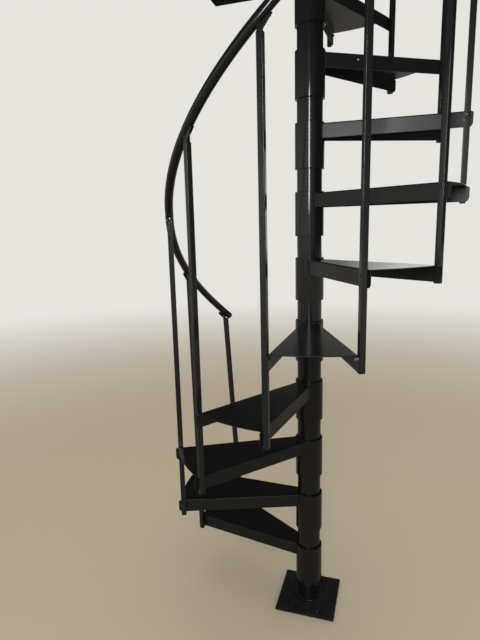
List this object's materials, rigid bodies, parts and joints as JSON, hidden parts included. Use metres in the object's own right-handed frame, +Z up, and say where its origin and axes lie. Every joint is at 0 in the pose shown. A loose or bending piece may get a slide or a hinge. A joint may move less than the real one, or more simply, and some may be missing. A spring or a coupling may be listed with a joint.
{
  "type": "spiral staircase",
  "caption": "Steel spiral stair: pie-shaped pan treads on hub sleeves round a pole, square balusters, a round helical handrail and a square landing with one guarded side.",
  "frame": {"origin": "on the pole's axis at the underside of the base plate", "axes": "+Z up along the pole; X and Y along the sides of the base plate and of the landing; the landing lies between +Y and -X"},
  "size_m": [1.0879, 1.0749, 3.591],
  "materials": {
    "tread_paint": "gloss black enamel on pressed steel",
    "pole_paint": "gloss black enamel on steel tube",
    "baluster_paint": "semi-gloss black enamel on square steel tube",
    "rail_paint": "gloss black enamel on round steel tube",
    "cap_plastic": "satin moulded black plastic"
  },
  "bodies": {
    "root": {"base_plate": "pole_paint", "center_pole": "pole_paint", "pole_cap": "cap_plastic", "tread_01": "tread_paint", "tread_02": "tread_paint", "tread_03": "tread_paint", "tread_04": "tread_paint", "tread_05": "tread_paint", "tread_06": "tread_paint", "tread_07": "tread_paint", "tread_08": "tread_paint", "tread_09": "tread_paint", "tread_10": "tread_paint", "landing": "tread_paint", "baluster_00": "baluster_paint", "baluster_01": "baluster_paint", "baluster_02": "baluster_paint", "baluster_03": "baluster_paint", "baluster_04": "baluster_paint", "baluster_05": "baluster_paint", "baluster_06": "baluster_paint", "baluster_07": "baluster_paint", "baluster_08": "baluster_paint", "baluster_09": "baluster_paint", "baluster_10": "baluster_paint", "handrail_1": "rail_paint", "handrail_2": "rail_paint", "handrail_3": "rail_paint", "handrail_4": "rail_paint", "rail_brackets": "baluster_paint", "landing_posts": "baluster_paint", "landing_rail": "rail_paint"}
  },
  "joints": []
}
